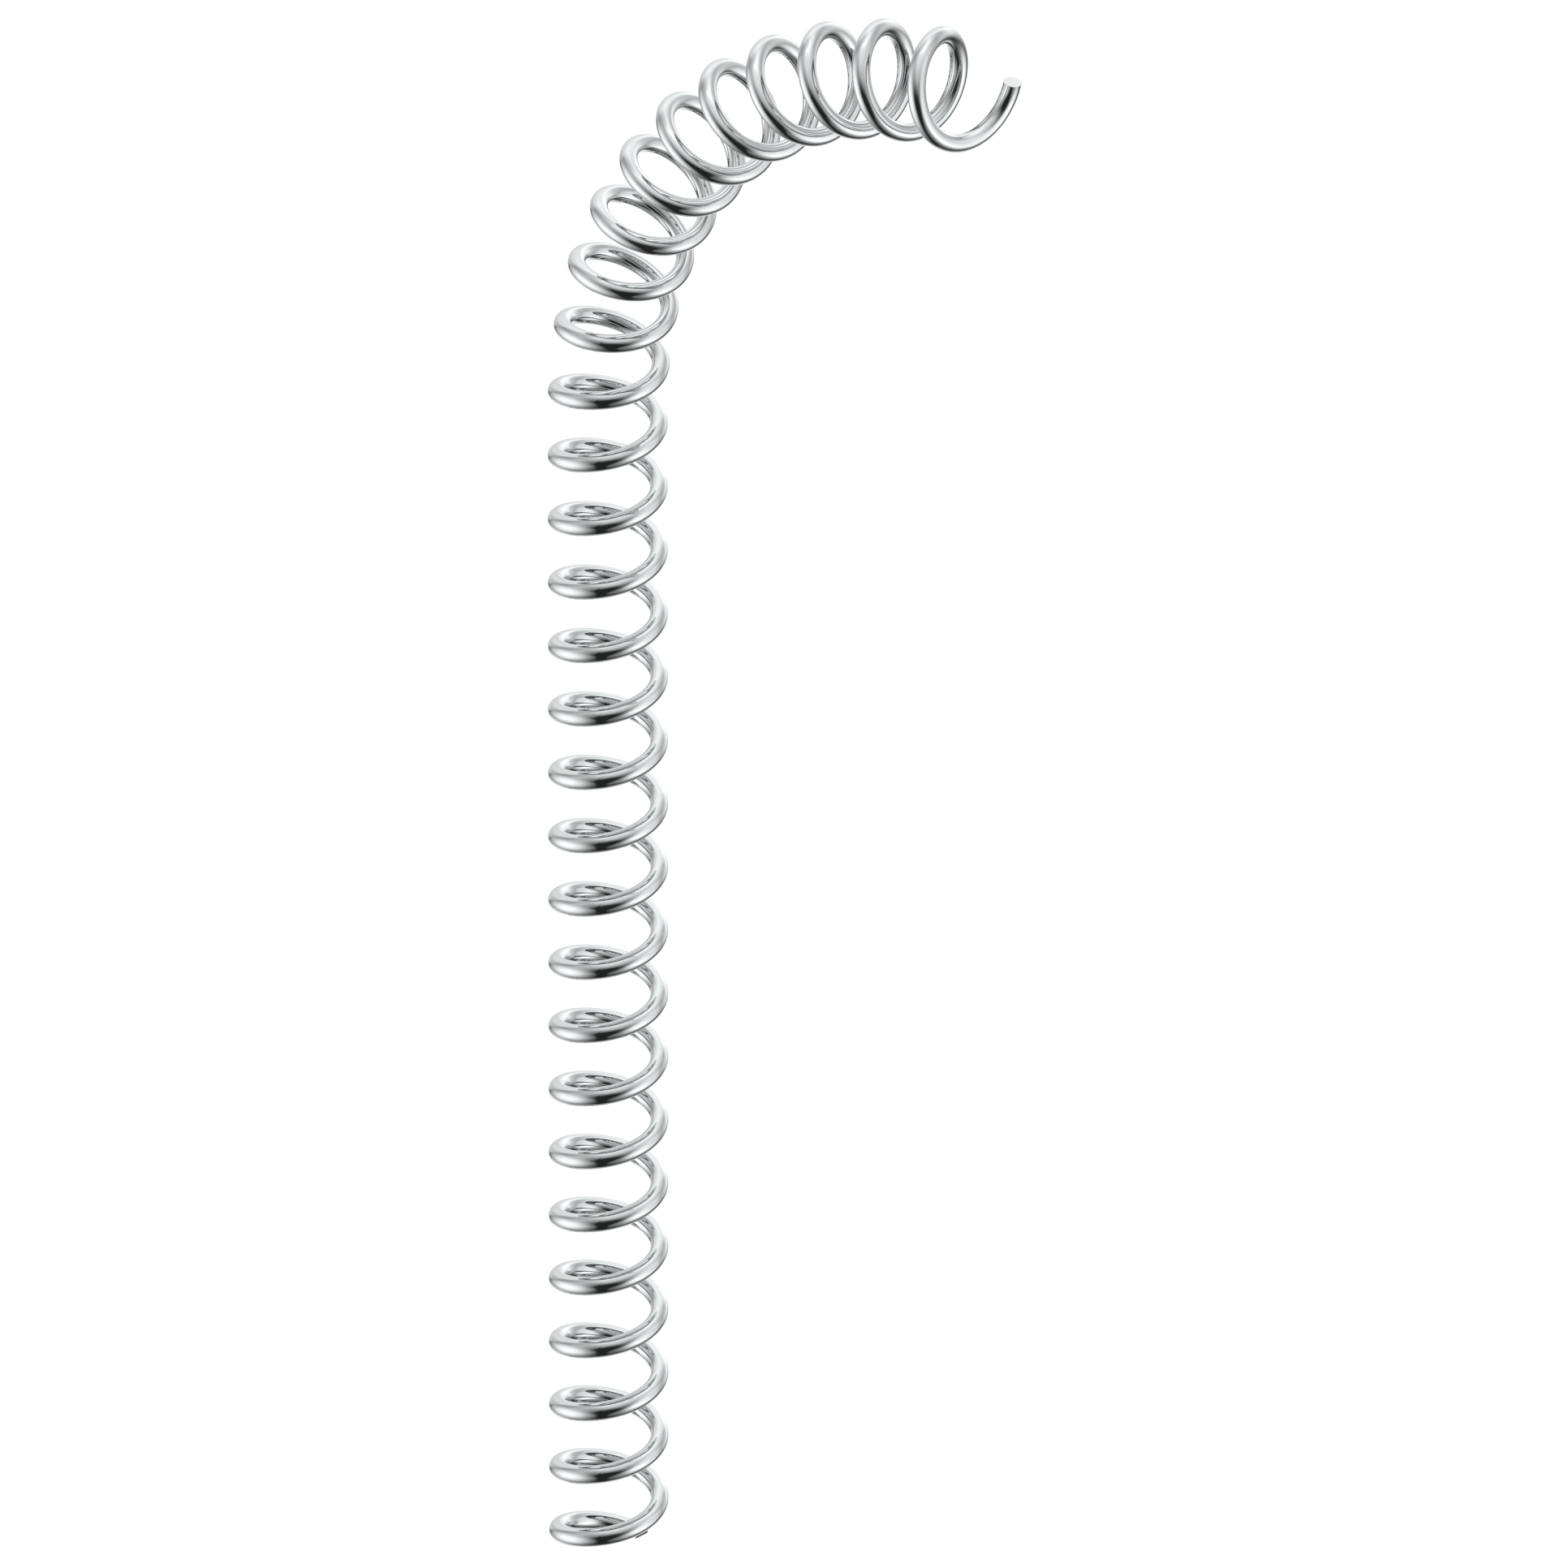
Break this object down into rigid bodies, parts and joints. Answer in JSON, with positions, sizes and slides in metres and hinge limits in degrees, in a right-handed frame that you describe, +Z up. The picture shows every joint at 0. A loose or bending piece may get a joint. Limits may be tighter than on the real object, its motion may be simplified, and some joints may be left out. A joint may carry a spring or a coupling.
{
  "type": "coil guard spring",
  "caption": "Long open-wound round-wire coil spring whose upper third is bent over through a quarter circle; sleeves and steers a hose or cable.",
  "frame": {"origin": "on the coil's axis, level with the middle of the wire's lower end", "axes": "+Z up the straight run, +X the way the bend leans, both wire ends on the +Y side"},
  "size_m": [0.1374, 0.03, 0.4502],
  "materials": {
    "spring_wire": "mirror-bright plated round wire, cut ends left plain"
  },
  "bodies": {
    "turn_01": {"turn_01": "spring_wire"},
    "turn_02": {"turn_02": "spring_wire"},
    "turn_03": {"turn_03": "spring_wire"},
    "turn_04": {"turn_04": "spring_wire"},
    "turn_05": {"turn_05": "spring_wire"},
    "turn_06": {"turn_06": "spring_wire"},
    "turn_07": {"turn_07": "spring_wire"},
    "turn_08": {"turn_08": "spring_wire"},
    "turn_09": {"turn_09": "spring_wire"},
    "turn_10": {"turn_10": "spring_wire"},
    "turn_11": {"turn_11": "spring_wire"},
    "turn_12": {"turn_12": "spring_wire"},
    "turn_13": {"turn_13": "spring_wire"},
    "turn_14": {"turn_14": "spring_wire"},
    "turn_15": {"turn_15": "spring_wire"},
    "turn_16": {"turn_16": "spring_wire"},
    "turn_17": {"turn_17": "spring_wire"},
    "turn_18": {"turn_18": "spring_wire"},
    "turn_19": {"turn_19": "spring_wire"},
    "turn_20": {"turn_20": "spring_wire"},
    "turn_21": {"turn_21": "spring_wire"},
    "turn_22": {"turn_22": "spring_wire"},
    "turn_23": {"turn_23": "spring_wire"},
    "turn_24": {"turn_24": "spring_wire"},
    "turn_25": {"turn_25": "spring_wire"},
    "turn_26": {"turn_26": "spring_wire"},
    "turn_27": {"turn_27": "spring_wire"},
    "turn_28": {"turn_28": "spring_wire"},
    "turn_29": {"turn_29": "spring_wire"}
  },
  "joints": [
    {"name": "stretch_01", "type": "slide", "parent": "turn_01", "child": "turn_02", "axis": [0, 0, 1], "range_m": [-0.003, 0.003], "stiffness_N_per_m": 271000},
    {"name": "stretch_02", "type": "slide", "parent": "turn_02", "child": "turn_03", "axis": [0, 0, 1], "range_m": [-0.003, 0.003], "stiffness_N_per_m": 271000},
    {"name": "stretch_03", "type": "slide", "parent": "turn_03", "child": "turn_04", "axis": [0, 0, 1], "range_m": [-0.003, 0.003], "stiffness_N_per_m": 271000},
    {"name": "stretch_04", "type": "slide", "parent": "turn_04", "child": "turn_05", "axis": [0, 0, 1], "range_m": [-0.003, 0.003], "stiffness_N_per_m": 271000},
    {"name": "stretch_05", "type": "slide", "parent": "turn_05", "child": "turn_06", "axis": [0, 0, 1], "range_m": [-0.003, 0.003], "stiffness_N_per_m": 271000},
    {"name": "stretch_06", "type": "slide", "parent": "turn_06", "child": "turn_07", "axis": [0, 0, 1], "range_m": [-0.003, 0.003], "stiffness_N_per_m": 271000},
    {"name": "stretch_07", "type": "slide", "parent": "turn_07", "child": "turn_08", "axis": [0, 0, 1], "range_m": [-0.003, 0.003], "stiffness_N_per_m": 271000},
    {"name": "stretch_08", "type": "slide", "parent": "turn_08", "child": "turn_09", "axis": [0, 0, 1], "range_m": [-0.003, 0.003], "stiffness_N_per_m": 271000},
    {"name": "stretch_09", "type": "slide", "parent": "turn_09", "child": "turn_10", "axis": [0, 0, 1], "range_m": [-0.003, 0.003], "stiffness_N_per_m": 271000},
    {"name": "stretch_10", "type": "slide", "parent": "turn_10", "child": "turn_11", "axis": [0, 0, 1], "range_m": [-0.003, 0.003], "stiffness_N_per_m": 271000},
    {"name": "stretch_11", "type": "slide", "parent": "turn_11", "child": "turn_12", "axis": [0, 0, 1], "range_m": [-0.003, 0.003], "stiffness_N_per_m": 271000},
    {"name": "stretch_12", "type": "slide", "parent": "turn_12", "child": "turn_13", "axis": [0, 0, 1], "range_m": [-0.003, 0.003], "stiffness_N_per_m": 271000},
    {"name": "stretch_13", "type": "slide", "parent": "turn_13", "child": "turn_14", "axis": [0, 0, 1], "range_m": [-0.003, 0.003], "stiffness_N_per_m": 271000},
    {"name": "stretch_14", "type": "slide", "parent": "turn_14", "child": "turn_15", "axis": [0, 0, 1], "range_m": [-0.003, 0.003], "stiffness_N_per_m": 271000},
    {"name": "stretch_15", "type": "slide", "parent": "turn_15", "child": "turn_16", "axis": [0, 0, 1], "range_m": [-0.003, 0.003], "stiffness_N_per_m": 271000},
    {"name": "stretch_16", "type": "slide", "parent": "turn_16", "child": "turn_17", "axis": [0, 0, 1], "range_m": [-0.003, 0.003], "stiffness_N_per_m": 271000},
    {"name": "stretch_17", "type": "slide", "parent": "turn_17", "child": "turn_18", "axis": [0, 0, 1], "range_m": [-0.003, 0.003], "stiffness_N_per_m": 271000},
    {"name": "bend_18", "type": "hinge", "parent": "turn_18", "child": "turn_19", "pos_m": [0, 0, 0.3132], "axis": [0, 1, 0], "range_deg": [-8.2, 8.2], "stiffness_Nm_per_rad": 50},
    {"name": "bend_19", "type": "hinge", "parent": "turn_19", "child": "turn_20", "pos_m": [0.00097, 0, 0.33056], "axis": [0, 1, 0], "range_deg": [-8.2, 8.2], "stiffness_Nm_per_rad": 50},
    {"name": "bend_20", "type": "hinge", "parent": "turn_20", "child": "turn_21", "pos_m": [0.00441, 0, 0.3476], "axis": [0, 1, 0], "range_deg": [-8.2, 8.2], "stiffness_Nm_per_rad": 50},
    {"name": "bend_21", "type": "hinge", "parent": "turn_21", "child": "turn_22", "pos_m": [0.01026, 0, 0.36397], "axis": [0, 1, 0], "range_deg": [-8.2, 8.2], "stiffness_Nm_per_rad": 50},
    {"name": "bend_22", "type": "hinge", "parent": "turn_22", "child": "turn_23", "pos_m": [0.01841, 0, 0.37933], "axis": [0, 1, 0], "range_deg": [-8.2, 8.2], "stiffness_Nm_per_rad": 50},
    {"name": "bend_23", "type": "hinge", "parent": "turn_23", "child": "turn_24", "pos_m": [0.02868, 0, 0.39335], "axis": [0, 1, 0], "range_deg": [-8.2, 8.2], "stiffness_Nm_per_rad": 50},
    {"name": "bend_24", "type": "hinge", "parent": "turn_24", "child": "turn_25", "pos_m": [0.04086, 0, 0.40575], "axis": [0, 1, 0], "range_deg": [-8.2, 8.2], "stiffness_Nm_per_rad": 50},
    {"name": "bend_25", "type": "hinge", "parent": "turn_25", "child": "turn_26", "pos_m": [0.05471, 0, 0.41627], "axis": [0, 1, 0], "range_deg": [-8.2, 8.2], "stiffness_Nm_per_rad": 50},
    {"name": "bend_26", "type": "hinge", "parent": "turn_26", "child": "turn_27", "pos_m": [0.06992, 0, 0.42469], "axis": [0, 1, 0], "range_deg": [-8.2, 8.2], "stiffness_Nm_per_rad": 50},
    {"name": "bend_27", "type": "hinge", "parent": "turn_27", "child": "turn_28", "pos_m": [0.08618, 0, 0.43083], "axis": [0, 1, 0], "range_deg": [-8.2, 8.2], "stiffness_Nm_per_rad": 50},
    {"name": "bend_28", "type": "hinge", "parent": "turn_28", "child": "turn_29", "pos_m": [0.10316, 0, 0.43456], "axis": [0, 1, 0], "range_deg": [-8.2, 8.2], "stiffness_Nm_per_rad": 50}
  ],
  "couplings": [
    {"joint": "stretch_02", "follows": "stretch_01", "ratio": 1},
    {"joint": "stretch_03", "follows": "stretch_01", "ratio": 1},
    {"joint": "stretch_04", "follows": "stretch_01", "ratio": 1},
    {"joint": "stretch_05", "follows": "stretch_01", "ratio": 1},
    {"joint": "stretch_06", "follows": "stretch_01", "ratio": 1},
    {"joint": "stretch_07", "follows": "stretch_01", "ratio": 1},
    {"joint": "stretch_08", "follows": "stretch_01", "ratio": 1},
    {"joint": "stretch_09", "follows": "stretch_01", "ratio": 1},
    {"joint": "stretch_10", "follows": "stretch_01", "ratio": 1},
    {"joint": "stretch_11", "follows": "stretch_01", "ratio": 1},
    {"joint": "stretch_12", "follows": "stretch_01", "ratio": 1},
    {"joint": "stretch_13", "follows": "stretch_01", "ratio": 1},
    {"joint": "stretch_14", "follows": "stretch_01", "ratio": 1},
    {"joint": "stretch_15", "follows": "stretch_01", "ratio": 1},
    {"joint": "stretch_16", "follows": "stretch_01", "ratio": 1},
    {"joint": "stretch_17", "follows": "stretch_01", "ratio": 1},
    {"joint": "bend_19", "follows": "bend_18", "ratio": 1},
    {"joint": "bend_20", "follows": "bend_18", "ratio": 1},
    {"joint": "bend_21", "follows": "bend_18", "ratio": 1},
    {"joint": "bend_22", "follows": "bend_18", "ratio": 1},
    {"joint": "bend_23", "follows": "bend_18", "ratio": 1},
    {"joint": "bend_24", "follows": "bend_18", "ratio": 1},
    {"joint": "bend_25", "follows": "bend_18", "ratio": 1},
    {"joint": "bend_26", "follows": "bend_18", "ratio": 1},
    {"joint": "bend_27", "follows": "bend_18", "ratio": 1},
    {"joint": "bend_28", "follows": "bend_18", "ratio": 1}
  ]
}
